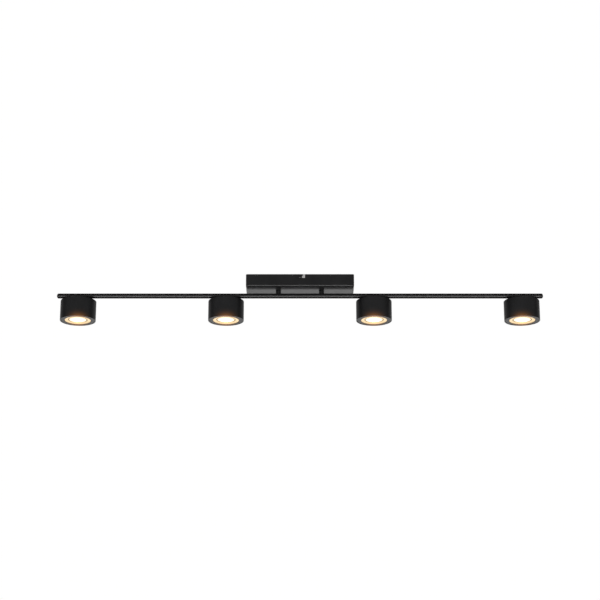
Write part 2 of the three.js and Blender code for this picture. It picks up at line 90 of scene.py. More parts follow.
# ---- Node helpers for materials ----


class Shader:
    """A material's node tree, with short calls for the nodes that the finishes need."""

    def __init__(self, name):
        self.material = bpy.data.materials.new(name)
        self.material.use_nodes = True
        self.nodes = self.material.node_tree.nodes
        self.links = self.material.node_tree.links
        self.surface = self.nodes["Principled BSDF"]
        self.place = self.nodes.new("ShaderNodeTexCoord").outputs["Object"]

    def set(self, **values):
        """Sets sockets of the surface shader: an underscore in a name stands for a space."""
        for name, value in values.items():
            self.surface.inputs[name.replace("_", " ")].default_value = value

    def stretched(self, stretch):
        mapping = self.nodes.new("ShaderNodeMapping")
        mapping.inputs["Scale"].default_value = stretch
        self.links.new(self.place, mapping.inputs["Vector"])
        return mapping.outputs["Vector"]

    def noise(self, size, detail=2.0, stretch=(1, 1, 1)):
        """Noise with features about size metres across, drawn out along the axes where stretch is small."""
        node = self.nodes.new("ShaderNodeTexNoise")
        node.inputs["Scale"].default_value = 1 / size
        node.inputs["Detail"].default_value = detail
        self.links.new(self.stretched(stretch), node.inputs["Vector"])
        return node.outputs["Fac"]

    def cells(self, size):
        node = self.nodes.new("ShaderNodeTexVoronoi")
        node.inputs["Scale"].default_value = 1 / size
        self.links.new(self.place, node.inputs["Vector"])
        return node.outputs["Distance"]

    def attribute(self, name):
        node = self.nodes.new("ShaderNodeAttribute")
        node.attribute_name = name
        return node.outputs["Fac"]

    def spread(self, value, low, high, start=0.3, end=0.7):
        """Maps start..end of a value onto low..high."""
        node = self.nodes.new("ShaderNodeMapRange")
        self.links.new(value, node.inputs["Value"])
        for name, number in (("From Min", start), ("From Max", end), ("To Min", low), ("To Max", high)):
            node.inputs[name].default_value = number
        return node.outputs["Result"]

    def ramp(self, value, stops):
        """A colour ramp; stops is a list of (position, colour)."""
        node = self.nodes.new("ShaderNodeValToRGB")
        self.links.new(value, node.inputs["Fac"])
        marks = node.color_ramp.elements
        while len(marks) < len(stops):
            marks.new(1.0)
        for mark, (position, colour) in zip(marks, stops):
            mark.position = position
            mark.color = (*colour, 1)
        return node.outputs["Color"]

    def bump(self, value, height, before=None):
        node = self.nodes.new("ShaderNodeBump")
        node.inputs["Strength"].default_value = 1.0
        node.inputs["Distance"].default_value = height
        self.links.new(value, node.inputs["Height"])
        if before is not None:
            self.links.new(before, node.inputs["Normal"])
        return node.outputs["Normal"]

    def drive(self, name, output):
        self.links.new(output, self.surface.inputs[name])


# ---- Finishes ----


def satin_paint(name, tone, roughness, grain=0.9 * MM, relief=0.0012 * MM):
    """Black powder coat: a faint orange peel, with a slow change of tone and gloss across the sheet."""
    shader = Shader(name)
    shader.set(Specular_IOR_Level=0.3)
    darker = [channel * 0.8 for channel in tone]
    lighter = [channel * 1.25 for channel in tone]
    shader.drive("Base Color", shader.ramp(shader.noise(30 * MM), [(0.35, darker), (0.65, lighter)]))
    shader.drive("Roughness", shader.spread(shader.noise(6 * MM, 4), roughness - 0.02, roughness + 0.03))
    peel = shader.bump(shader.noise(grain, 3), relief)
    shader.drive("Normal", shader.bump(shader.cells(0.35 * MM), relief * 0.3, peel))
    return shader.material


def bright_metal(name, tone, roughness, grain_stretch=(0.06, 1, 1), relief=0.0015 * MM):
    """Plated or machined metal: fine lines along X, and cloudy plating on top of them."""
    shader = Shader(name)
    shader.set(Metallic=1.0)
    cool = [tone[0] * 0.86, tone[1] * 0.88, tone[2] * 0.93]
    warm = [tone[0] * 1.05, tone[1] * 1.02, tone[2] * 0.95]
    shader.drive("Base Color", shader.ramp(shader.noise(9 * MM, 5), [(0.3, cool), (0.7, warm)]))
    lines = shader.noise(0.5 * MM, 4, grain_stretch)
    shader.drive("Roughness", shader.spread(lines, roughness - 0.08, roughness + 0.12))
    shader.drive("Normal", shader.bump(lines, relief))
    return shader.material


def cast_aluminium():
    shader = Shader("cast_aluminium")
    shader.set(Metallic=1.0)
    tones = [(0.3, (0.6, 0.61, 0.63)), (0.7, (0.76, 0.77, 0.78))]
    shader.drive("Base Color", shader.ramp(shader.noise(4 * MM, 5), tones))
    grain = shader.noise(0.7 * MM, 5)
    shader.drive("Roughness", shader.spread(grain, 0.4, 0.62))
    shader.drive("Normal", shader.bump(grain, 0.05 * MM))
    return shader.material


def moulded(name, tone, roughness, relief=0.008 * MM):
    """Moulded plastic with a fine spark-eroded texture."""
    shader = Shader(name)
    shader.set(IOR=1.5)
    darker = [channel * 0.93 for channel in tone]
    shader.drive("Base Color", shader.ramp(shader.noise(14 * MM, 4), [(0.35, darker), (0.7, tone)]))
    grain = shader.noise(0.25 * MM, 3)
    shader.drive("Roughness", shader.spread(grain, roughness - 0.06, roughness + 0.08))
    shader.drive("Normal", shader.bump(grain, relief))
    return shader.material


def striped_sleeve():
    """Green and yellow stripes round the earth lead."""
    shader = Shader("earth_sleeve")
    stripe = shader.nodes.new("ShaderNodeTexWave")
    stripe.inputs["Scale"].default_value = 60
    stripe.bands_direction = "Y"
    shader.links.new(shader.place, stripe.inputs["Vector"])
    green_and_yellow = [(0.45, (0.03, 0.26, 0.05)), (0.55, (0.75, 0.62, 0.04))]
    shader.drive("Base Color", shader.ramp(stripe.outputs["Fac"], green_and_yellow))
    shader.drive("Roughness", shader.spread(shader.noise(2 * MM), 0.38, 0.5))
    return shader.material


def lit_plastic(name, glow, strength, roughness):
    """A glowing optic: on the frosted lens, lit from behind, it is the lamp's own light, and on the reflector
    it is painted light for the LED light on its face. glow lists (share of the radius, colour) from the axis
    outwards.
    """
    shader = Shader(name)
    shader.set(Emission_Strength=strength, IOR=1.49)
    shader.drive("Emission Color", shader.ramp(shader.attribute("radial"), glow))
    tones = [(0.3, (0.17, 0.15, 0.12)), (0.7, (0.22, 0.2, 0.16))]
    shader.drive("Base Color", shader.ramp(shader.noise(5 * MM, 3), tones))
    frost = shader.noise(0.2 * MM, 3)
    shader.drive("Roughness", shader.spread(frost, roughness - 0.08, roughness + 0.08))
    shader.drive("Normal", shader.bump(frost, 0.01 * MM))
    return shader.material


def solder_mask():
    """White solder mask with a faint pattern of buried copper tracks."""
    shader = Shader("solder_mask")
    tracks = shader.cells(7 * MM)
    shader.drive("Base Color", shader.ramp(tracks, [(0.3, (0.86, 0.86, 0.83)), (0.36, (0.8, 0.81, 0.77))]))
    shader.drive("Roughness", shader.spread(shader.noise(1 * MM), 0.25, 0.4))
    shader.drive("Normal", shader.bump(tracks, 0.03 * MM))
    return shader.material


BLACK_PAINT = satin_paint("black_powder_coat", (0.0065, 0.0065, 0.007), 0.3)
BLACK_RING = satin_paint("black_ring_finish", (0.014, 0.0135, 0.013), 0.37, grain=0.5 * MM, relief=0.001 * MM)
BLACK_STEEL = satin_paint("blackened_steel", (0.012, 0.012, 0.013), 0.24, grain=0.3 * MM, relief=0.001 * MM)
ZINC = bright_metal("zinc_plate", (0.78, 0.78, 0.77), 0.36)
STEEL = bright_metal("plain_steel", (0.5, 0.5, 0.5), 0.28, grain_stretch=(1, 1, 0.1))
BRASS = bright_metal("brass", (0.8, 0.58, 0.24), 0.27)
ALUMINIUM = cast_aluminium()
DRIVER_PLASTIC = moulded("driver_plastic", (0.8, 0.8, 0.77), 0.5)
TERMINAL_PLASTIC = moulded("terminal_plastic", (0.84, 0.83, 0.78), 0.42, relief=0.004 * MM)
BLACK_SLEEVE = moulded("black_sleeve", (0.02, 0.02, 0.022), 0.42, relief=0.002 * MM)
RED_SLEEVE = moulded("red_sleeve", (0.42, 0.02, 0.015), 0.42, relief=0.002 * MM)
BROWN_SLEEVE = moulded("brown_sleeve", (0.14, 0.055, 0.02), 0.42, relief=0.002 * MM)
BLUE_SLEEVE = moulded("blue_sleeve", (0.03, 0.13, 0.42), 0.42, relief=0.002 * MM)
EARTH_SLEEVE = striped_sleeve()
WARM_WHITE = (1.0, 0.97, 0.9)
PALE_WHITE = (0.133, 0.13, 0.118)
CANDLE = (0.13, 0.122, 0.092)
LENS_EDGE = (0.035, 0.02, 0.007)
DIFFUSER_GLOW = [(0.28, WARM_WHITE), (0.62, PALE_WHITE), (0.88, CANDLE), (0.93, LENS_EDGE)]
DIFFUSER = lit_plastic("lit_diffuser", DIFFUSER_GLOW, 7.5, 0.45)
# Painted light: the reflector is no lamp, so its glow is colour standing in for the LED light on its face,
# with a painted shade band in the groove next to the lens.
GROOVE_PAINTED_SHADE = (0.06, 0.035, 0.012)
CREAM = (0.97, 0.73, 0.38)
AMBER = (0.88, 0.58, 0.26)
REFLECTOR_PAINTED_LIGHT = [(0.74, GROOVE_PAINTED_SHADE), (0.77, CREAM), (0.9, CREAM), (0.99, AMBER)]
REFLECTOR = lit_plastic("reflector_painted_glow", REFLECTOR_PAINTED_LIGHT, 0.78, 0.35)
PHOSPHOR = moulded("phosphor", (0.85, 0.62, 0.08), 0.4, relief=0.002 * MM)
SOLDER_MASK = solder_mask()


# ---- Mesh helpers ----

SHARP_ANGLE = math.radians(32)


def shade(mesh):
    """Smooth shading with every edge over SHARP_ANGLE left crisp."""
    work = bmesh.new()
    work.from_mesh(mesh)
    for face in work.faces:
        face.smooth = True
    for edge in work.edges:
        edge.smooth = len(edge.link_faces) == 2 and edge.calc_face_angle(0) < SHARP_ANGLE
    work.to_mesh(mesh)
    work.free()


def new_object(name, mesh, material):
    thing = bpy.data.objects.new(name, mesh)
    bpy.context.scene.collection.objects.link(thing)
    mesh.materials.append(material)
    return thing


def from_loops(name, loops, material, closed=False):
    """A skin over loops with the same number of points. closed joins the last loop to the first; otherwise
    both ends are capped."""
    work = bmesh.new()
    rings = [[work.verts.new(point) for point in loop] for loop in loops]
    following = rings[1:] + rings[:1] if closed else rings[1:]
    for ring, after in zip(rings, following):
        for i in range(len(ring)):
            j = (i + 1) % len(ring)
            work.faces.new((ring[i], ring[j], after[j], after[i]))
    if not closed:
        work.faces.new(rings[0][::-1])
        work.faces.new(rings[-1])
    bmesh.ops.recalc_face_normals(work, faces=work.faces)
    mesh = bpy.data.meshes.new(name)
    work.to_mesh(mesh)
    work.free()
    shade(mesh)
    return new_object(name, mesh, material)


def eased(profile, closed):
    """A profile with its corners rounded. A point is (radius, height) or (radius, height, rounding)."""
    points = [Vector(point[:2]) for point in profile]
    rounding = [point[2] if len(point) > 2 else 0 for point in profile]
    result = []
    count = len(points)
    for i, corner in enumerate(points):
        if rounding[i] == 0 or (not closed and i in (0, count - 1)):
            result.append(corner)
            continue
        to_before = points[i - 1] - corner
        to_after = points[(i + 1) % count] - corner
        reach = min(rounding[i], to_before.length * 0.48, to_after.length * 0.48)
        start = corner + to_before.normalized() * reach
        end = corner + to_after.normalized() * reach
        for step in range(5):
            t = step / 4
            result.append(start * (1 - t) ** 2 + corner * 2 * t * (1 - t) + end * t**2)
    return result


def turned(name, profile, material, centre=(0, 0, 0), axis="Z", segments=96, closed=False):
    """A body turned from a profile of (distance from axis, place along axis), from axis to axis or closed.
    It carries the attribute radial: 0 on the axis and 1 at the largest radius."""
    points = eased(profile, closed)
    work = bmesh.new()
    rows = []
    for radius, along in points:
        if radius < 1e-7:
            rows.append([work.verts.new((0, 0, along))])
            continue
        angles = [2 * math.pi * i / segments for i in range(segments)]
        rows.append([work.verts.new((radius * math.cos(a), radius * math.sin(a), along)) for a in angles])
    pairs = list(zip(rows, rows[1:]))
    if closed:
        pairs.append((rows[-1], rows[0]))
    for low, high in pairs:
        for i in range(segments):
            j = (i + 1) % segments
            corners = [low[i % len(low)], low[j % len(low)], high[j % len(high)], high[i % len(high)]]
            work.faces.new(list(dict.fromkeys(corners)))
    bmesh.ops.recalc_face_normals(work, faces=work.faces)
    mesh = bpy.data.meshes.new(name)
    work.to_mesh(mesh)
    work.free()
    widest = max(radius for radius, _ in points)
    radial = mesh.attributes.new("radial", "FLOAT", "POINT")
    radial.data.foreach_set("value", [math.hypot(v.co.x, v.co.y) / widest for v in mesh.vertices])
    turn = {"X": Matrix.Rotation(math.pi / 2, 4, "Y"), "Y": Matrix.Rotation(-math.pi / 2, 4, "X")}
    mesh.transform(Matrix.Translation(centre) @ turn.get(axis, Matrix.Identity(4)))
    shade(mesh)
    return new_object(name, mesh, material)


def bar(radius, start, end, centre=(0, 0, 0), axis="Z", segments=48):
    """A plain round cutter."""
    profile = [(0, start), (radius, start), (radius, end), (0, end)]
    return turned("cutter", profile, None, centre, axis, segments)


def rounded_loop(length, width, radius, z, inset=0.0, steps=8):
    """Points round a rectangle with rounded corners, moved inwards by inset."""
    radius = max(radius - inset, 0.05 * MM)
    right = length / 2 - inset - radius
    top = width / 2 - inset - radius
    points = []
    for quarter, (x, y) in enumerate(((right, top), (-right, top), (-right, -top), (right, -top))):
        for step in range(steps + 1):
            angle = (quarter + step / steps) * math.pi / 2
            points.append((x + radius * math.cos(angle), y + radius * math.sin(angle), z))
    return points


def block(name, low, high, material, corner=0.5 * MM, edge=0.3 * MM):
    """A box with rounded upright corners and eased edges above and below."""
    low, high = Vector(low), Vector(high)
    size = high - low
    loops = []
    for step in range(5):
        angle = step / 4 * math.pi / 2
        inset = edge * (1 - math.sin(angle))
        loops.append(rounded_loop(size.x, size.y, corner, edge * (1 - math.cos(angle)), inset))
    loops += [[(x, y, size.z - z) for x, y, z in loop] for loop in reversed(loops)]
    thing = from_loops(name, loops, material)
    thing.data.transform(Matrix.Translation(((low.x + high.x) / 2, (low.y + high.y) / 2, low.z)))
    return thing


def applied(thing):
    """Makes the result of the object's modifiers its own mesh."""
    bpy.context.view_layer.update()
    graph = bpy.context.evaluated_depsgraph_get()
    mesh = bpy.data.meshes.new_from_object(thing.evaluated_get(graph), depsgraph=graph)
    thing.modifiers.clear()
    thing.data = mesh
    return mesh


def flatten_light(thing):
    """Lets large faces set the normals, so that an eased edge doesn't bend the light across a flat face."""
    modifier = thing.modifiers.new("weighted_normals", "WEIGHTED_NORMAL")
    modifier.keep_sharp = True
    applied(thing)


def carve(thing, *tools, operation="DIFFERENCE"):
    """Cuts the tools out of thing, or joins or intersects them with it, and removes them."""
    material = thing.data.materials[0]
    for tool in tools:
        modifier = thing.modifiers.new("carve", "BOOLEAN")
        modifier.object = tool
        modifier.operation = operation
        modifier.solver = "EXACT"
    mesh = applied(thing)
    mesh.materials.clear()
    mesh.materials.append(material)
    for tool in tools:
        bpy.data.objects.remove(tool)
    shade(mesh)
    return thing


def from_cad(name, node, material, ease=0.2 * MM):
    """A copy of a CAD node's mesh with its flat faces made whole and its hard edges eased."""
    work = bmesh.new()
    work.from_mesh(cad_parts[node].data)
    bmesh.ops.remove_doubles(work, verts=work.verts, dist=0.002 * MM)
    bmesh.ops.dissolve_limit(work, angle_limit=math.radians(1), verts=work.verts, edges=work.edges)
    mesh = bpy.data.meshes.new(name)
    work.to_mesh(mesh)
    work.free()
    mesh.materials.clear()
    thing = new_object(name, mesh, material)
    if ease > 0:
        bevel = thing.modifiers.new("ease", "BEVEL")
        bevel.width = ease
        bevel.segments = 2
        bevel.limit_method = "ANGLE"
        bevel.angle_limit = math.radians(50)
        applied(thing)
    shade(thing.data)
    return thing


def placed(thing, body, slot, *nodes):
    """Finishes thing: it rides on its body and stands for the CAD nodes, if any. slot is not used."""
    flatten_light(thing)
    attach(thing, body)
    if nodes:
        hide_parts(*nodes)
    return thing


def screw(name, seat, direction, head, shank, material, pitch=0.7 * MM):
    """A pan-head screw with a cross recess and a threaded shank. seat is the middle of the head's underside,
    direction the way the head points, and head and shank are each (radius, length)."""
    head_radius, head_height = head
    shank_radius, shank_length = shank
    profile = [(0, -shank_length), (shank_radius * 0.7, -shank_length)]
    turns = int((shank_length - 1.2 * MM) / pitch)
    for turn in range(turns):
        start = -shank_length + 0.3 * MM + turn * pitch
        profile.append((shank_radius * 0.84, start))
        profile.append((shank_radius, start + pitch / 2))
    profile += [
        (shank_radius * 0.9, -0.3 * MM),
        (shank_radius * 0.9, 0),
        (head_radius, 0, 0.15 * MM),
        (head_radius, head_height * 0.45, head_height * 0.3),
        (head_radius * 0.82, head_height * 0.84, head_height * 0.3),
        (head_radius * 0.4, head_height, head_height * 0.2),
        (0, head_height),
    ]
    thing = turned(name, profile, material, segments=48)
    reach = head_radius * 0.55
    width = head_radius * 0.12
    recess_floor = head_height * 0.5
    above = head_height * 2
    across = block("cutter", (-reach, -width, recess_floor), (reach, width, above), None, width * 0.4)
    along = block("cutter", (-width, -reach, recess_floor), (width, reach, above), None, width * 0.4)
    carve(thing, across, along)
    turn = Vector(direction).to_track_quat("Z", "Y").to_matrix().to_4x4()
    thing.data.transform(Matrix.Translation(seat) @ turn)
    return thing


# ---- Camera, light and surroundings ----


def aim(thing, eye, target):
    thing.location = eye
    thing.rotation_mode = "QUATERNION"
    thing.rotation_quaternion = (Vector(target) - Vector(eye)).to_track_quat("-Z", "Y")


def make_camera():
    """From the front and 17.7 degrees below, far enough away that the heads look alike."""
    below = math.radians(17.7)
    distance = 3.352
    target = Vector((0, 0, RAIL_Z - 8.2 * MM))
    data = bpy.data.cameras.new("camera")
    data.lens = 102
    data.sensor_width = 36
    camera = bpy.data.objects.new("camera", data)
    bpy.context.scene.collection.objects.link(camera)
    aim(camera, target + Vector((0, -math.cos(below), -math.sin(below))) * distance, target)
    bpy.context.scene.camera = camera


def soft_light(name, eye, target, width, height, power):
    data = bpy.data.lights.new(name, "AREA")
    data.shape = "RECTANGLE"
    data.size = width
    data.size_y = height
    data.energy = power
    light = bpy.data.objects.new(name, data)
    bpy.context.scene.collection.objects.link(light)
    light.visible_camera = False
    aim(light, eye, target)


def brightness_ramp(nodes, links, value, stops):
    """A grey ramp over a coordinate that runs from -1 to 1; stops is a list of (coordinate, brightness)."""
    ramp = nodes.new("ShaderNodeValToRGB")
    spread = nodes.new("ShaderNodeMapRange")
    spread.inputs["From Min"].default_value = -1
    links.new(value, spread.inputs["Value"])
    links.new(spread.outputs["Result"], ramp.inputs["Fac"])
    marks = ramp.color_ramp.elements
    while len(marks) < len(stops):
        marks.new(1.0)
    for mark, (place, brightness) in zip(marks, stops):
        mark.position = (place + 1) / 2
        mark.color = (brightness, brightness, brightness, 1)
    return ramp.outputs["Color"]


def make_world():
    """White to the camera. To the object it is a dim room, brightest in a band just below the horizon."""
    world = bpy.data.worlds.new("studio")
    world.use_nodes = True
    bpy.context.scene.world = world
    nodes, links = world.node_tree.nodes, world.node_tree.links
    nodes.clear()
    split = nodes.new("ShaderNodeSeparateXYZ")
    links.new(nodes.new("ShaderNodeTexCoord").outputs["Generated"], split.inputs[0])
    front_to_back = [(-1.0, 1.3), (-0.3, 1.05), (0.1, 0.2), (0.6, 1.0)]
    below_horizon = [(-0.7, 0.2), (-0.5, 0.5), (-0.36, 1.35), (-0.24, 1.35), (-0.05, 0.36)]
    above_horizon = [(0.4, 0.3), (0.8, 0.1)]
    bottom_to_top = below_horizon + above_horizon
    both = nodes.new("ShaderNodeMix")
    both.data_type = "RGBA"
    both.blend_type = "MULTIPLY"
    both.inputs["Factor"].default_value = 1.0
    links.new(brightness_ramp(nodes, links, split.outputs["Y"], front_to_back), both.inputs["A"])
    links.new(brightness_ramp(nodes, links, split.outputs["Z"], bottom_to_top), both.inputs["B"])
    room = nodes.new("ShaderNodeBackground")
    links.new(both.outputs["Result"], room.inputs["Color"])
    white = nodes.new("ShaderNodeBackground")
    white.inputs["Color"].default_value = (1, 1, 1, 1)
    pick = nodes.new("ShaderNodeMixShader")
    links.new(nodes.new("ShaderNodeLightPath").outputs["Is Camera Ray"], pick.inputs["Fac"])
    links.new(room.outputs[0], pick.inputs[1])
    links.new(white.outputs[0], pick.inputs[2])
    links.new(pick.outputs[0], nodes.new("ShaderNodeOutputWorld").inputs["Surface"])


def make_floor():
    """A plain pale floor, a room's height below the ceiling, that runs into the white backdrop."""
    shader = Shader("pale_floor")
    shader.set(Base_Color=(0.8, 0.8, 0.79, 1), Roughness=0.8)
    backdrop = shader.nodes.new("ShaderNodeEmission")
    backdrop.inputs["Color"].default_value = (1, 1, 1, 1)
    pick = shader.nodes.new("ShaderNodeMixShader")
    shader.links.new(shader.nodes.new("ShaderNodeLightPath").outputs["Is Camera Ray"], pick.inputs["Fac"])
    shader.links.new(shader.surface.outputs["BSDF"], pick.inputs[1])
    shader.links.new(backdrop.outputs[0], pick.inputs[2])
    shader.links.new(pick.outputs[0], shader.nodes["Material Output"].inputs["Surface"])
    floor = from_loops(
        "floor",
        [rounded_loop(9, 9, 1, -2.42), rounded_loop(9, 9, 1, -2.4)],
        shader.material,
    )


def make_glow():
    """A soft bloom round the lit optics."""
    scene = bpy.context.scene
    scene.use_nodes = True
    nodes, links = scene.node_tree.nodes, scene.node_tree.links
    nodes.clear()
    glare = nodes.new("CompositorNodeGlare")
    glare.glare_type = "BLOOM"
    glare.inputs["Threshold"].default_value = 1.05
    glare.inputs["Strength"].default_value = 1.15
    glare.inputs["Size"].default_value = 0.02
    glare.inputs["Tint"].default_value = (1.0, 0.37, 0.06, 1)
    links.new(nodes.new("CompositorNodeRLayers").outputs["Image"], glare.inputs["Image"])
    links.new(glare.outputs["Image"], nodes.new("CompositorNodeComposite").inputs["Image"])


def make_studio():
    bpy.context.scene.view_settings.view_transform = "Standard"
    make_camera()
    make_world()
    make_floor()
    eye = (0, -3.0, -1.9)
    soft_light("front_strip", eye, target=(0, 0, RAIL_Z), width=3.0, height=0.4, power=90)
    make_glow()


# ---- Canopy and bracket ----


def shell_loops():
    """The open-topped box as one run of loops: up the outside, over the rim and down the inside."""
    length, width, height = CANOPY_SIZE
    rim_ease = 0.25 * MM
    bend_steps = 8
    loops = []
    for step in range(bend_steps + 1):
        angle = step / bend_steps * math.pi / 2
        rise = EDGE_RADIUS * (1 - math.cos(angle))
        inset = EDGE_RADIUS * (1 - math.sin(angle))
        loops.append(rounded_loop(length, width, CORNER_RADIUS, rise, inset))
    for inset, drop in ((0, rim_ease), (rim_ease, 0), (SHEET - rim_ease, 0), (SHEET, rim_ease)):
        loops.append(rounded_loop(length, width, CORNER_RADIUS, height - drop, inset))
    inner_edge = EDGE_RADIUS - SHEET
    for step in range(bend_steps + 1):
        angle = (1 - step / bend_steps) * math.pi / 2
        rise = SHEET + inner_edge * (1 - math.cos(angle))
        inset = SHEET + inner_edge * (1 - math.sin(angle))
        loops.append(rounded_loop(length, width, CORNER_RADIUS, rise, inset))
    return loops


def bayonet_cutter():
    """The L-shaped slots of the front and rear walls, as one tool through both."""
    reach = CANOPY_SIZE.y
    entry_x = BAYONET_TRAVEL
    end = bar(SLOT_RADIUS, -reach, reach, (0, 0, COVER_SCREW_Z), "Y")
    leg = block(
        "cutter",
        (0, -reach, COVER_SCREW_Z - SLOT_RADIUS),
        (entry_x + SLOT_RADIUS, reach, COVER_SCREW_Z + SLOT_RADIUS),
        None,
        corner=0.05 * MM,
        edge=0.4 * MM,
    )
    entry = block(
        "cutter",
        (entry_x - SLOT_RADIUS, -reach, COVER_SCREW_Z - SLOT_RADIUS),
        (entry_x + SLOT_RADIUS, reach, 10 * MM),
        None,
        corner=0.05 * MM,
        edge=0.4 * MM,
    )
    return carve(end, leg, entry, operation="UNION")


def make_canopy():
    canopy = from_loops("canopy_box", shell_loops(), BLACK_PAINT)
    canopy.data.transform(Matrix.Translation((0, 0, CANOPY_LOW.z)))
    holes = [
        bar(POST_NECK_RADIUS + FIT, CANOPY_LOW.z - 5 * MM, CANOPY_LOW.z + 5 * MM, (x, 0, 0))
        for x in POST_X.values()
    ]
    carve(canopy, bayonet_cutter(), *holes)
    placed(canopy, "fixture", "black_paint", "canopy_cover")
    head = (4 * MM, 2.6 * MM)
    for place, side in (("front", -1), ("rear", 1)):
        low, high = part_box(f"canopy_screw_{place}")
        seat = (0, side * (CANOPY_SIZE.y / 2 + FIT), COVER_SCREW_Z)
        shank = (SCREW_RADIUS, high[1] - low[1] - head[1])
        cover_screw = screw(f"cover_screw_{place}", seat, (0, side, 0), head, shank, BLACK_STEEL)
        placed(cover_screw, "fixture", "black_screw", f"canopy_screw_{place}")


def make_bracket():
    bracket = from_cad("bracket_plate", "ceiling_bracket", ZINC, ease=0.25 * MM)
    placed(bracket, "fixture", "zinc_plate", "ceiling_bracket")


# ---- Posts and rail ----


def rail_clearance():
    reach = 20 * MM
    return bar(RAIL_RADIUS + FIT, -reach, reach, (0, 0, RAIL_Z), "X", segments=96)


def thread(radius, start, end, pitch):
    """Profile points of a thread's crests and roots, from start up to end."""
    turns = int((end - start) / pitch)
    points = []
    for turn in range(turns):
        points.append((radius * 0.94, start + turn * pitch))
        points.append((radius, start + (turn + 0.5) * pitch))
    return points


def make_post(side_name):
    low_z, high_z = POST_LOW.z, POST_HIGH.z
    shoulder = CANOPY_LOW.z - FIT
    post_radius = (POST_HIGH.x - POST_LOW.x) / 2
    profile = [
        (POST_BORE_RADIUS, low_z),
        (post_radius, low_z),
        (post_radius, shoulder, 0.4 * MM),
        (POST_NECK_RADIUS * 0.94, shoulder),
        *thread(POST_NECK_RADIUS, shoulder + 0.4 * MM, high_z - 0.4 * MM, 1 * MM),
        (POST_NECK_RADIUS * 0.9, high_z),
        (POST_BORE_RADIUS, high_z),
    ]
    post = turned(f"post_sleeve_{side_name}", profile, BLACK_PAINT, segments=72, closed=True)
    carve(post, rail_clearance())
    post.data.transform(Matrix.Translation((POST_X[side_name], 0, 0)))
    return placed(post, "fixture", "black_paint", f"post_{side_name}")


def make_nut(side_name):
    """A hexagon nut with its corners turned off and a chamfered bore."""
    low, high = map(Vector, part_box(f"post_nut_{side_name}"))
    corner_radius = (high.y - low.y) / 2
    height = high.z - low.z
    outline = [(0, 0), (corner_radius, 0), (corner_radius, height), (0, height)]
    hexagon = turned("nut", outline, ZINC, segments=6)
    hexagon.data.transform(Matrix.Rotation(math.pi / 6, 4, "Z"))
    flat = corner_radius * math.cos(math.pi / 6)
    chamfer = 0.5 * MM
    limit = turned(
        "cutter",
        [
            (0, 0),
            (flat, 0),
            (corner_radius + 0.1 * MM, chamfer),
            (corner_radius + 0.1 * MM, height - chamfer),
            (flat, height),
            (0, height),
        ],
        None,
    )
    carve(hexagon, limit, operation="INTERSECT")
    bore = POST_NECK_RADIUS + FIT
    mouth = [(0, -1 * MM), (bore + 1.4 * MM, -1 * MM), (bore, 0.4 * MM), (bore, height - 0.4 * MM)]
    mouth += [(bore + 1.4 * MM, height + 1 * MM), (0, height + 1 * MM)]
    carve(hexagon, turned("cutter", mouth, None, segments=64))
    hexagon.name = f"hex_nut_{side_name}"
    hexagon.data.transform(Matrix.Translation((POST_X[side_name], 0, low.z)))
    return placed(hexagon, "fixture", "zinc_plate", f"post_nut_{side_name}")


def make_rail():
    inner = RAIL_RADIUS - RAIL_WALL
    start, end = RAIL_LOW.x, RAIL_HIGH.x
    ease = 0.15 * MM
    profile = [(inner, start), (RAIL_RADIUS, start, ease), (RAIL_RADIUS, end, ease), (inner, end)]
    rail = turned("rail_bar", profile, BLACK_PAINT, (0, 0, RAIL_Z), "X", segments=96, closed=True)
    hole = POST_BORE_RADIUS + FIT
    cutters = [bar(hole, RAIL_Z, RAIL_Z + 10 * MM, (x, 0, 0)) for x in POST_X.values()]
    cutters += [bar(hole + 0.1 * MM, RAIL_Z - 10 * MM, RAIL_Z, (x, 0, 0)) for x in HEAD_X.values()]
    carve(rail, *cutters)
    placed(rail, "fixture", "black_paint", "rail_tube")


def make_end_cap(side_name, side):
    """A plug with a domed button, as wide as the rail."""
    low, high = map(Vector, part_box(f"end_cap_{side_name}"))
    outer_end = max(abs(low.x), abs(high.x))
    inner_end = min(abs(low.x), abs(high.x))
    flange = 4.2 * MM
    dome = 3.4 * MM
    seat = outer_end - flange
    plug = RAIL_RADIUS - RAIL_WALL - FIT
    angles = [i * math.pi / 24 for i in range(12)]
    profile = [
        (0, inner_end),
        (plug * 0.92, inner_end, 0.2 * MM),
        (plug, inner_end + 1 * MM),
        (plug, seat),
        (RAIL_RADIUS, seat, 0.12 * MM),
        *[(RAIL_RADIUS * math.cos(a), outer_end - dome * (1 - math.sin(a))) for a in angles],
        (0, outer_end),
    ]
    cap = turned(f"rail_plug_{side_name}", profile, BLACK_PAINT, (0, 0, RAIL_Z), "X", segments=72)
    if side < 0:
        cap.data.transform(Matrix.Rotation(math.pi, 4, "Z"))
    placed(cap, "fixture", "black_paint", f"end_cap_{side_name}")


# ---- Electrical pieces in the canopy ----

TERMINAL_PITCH = 9.3 * MM


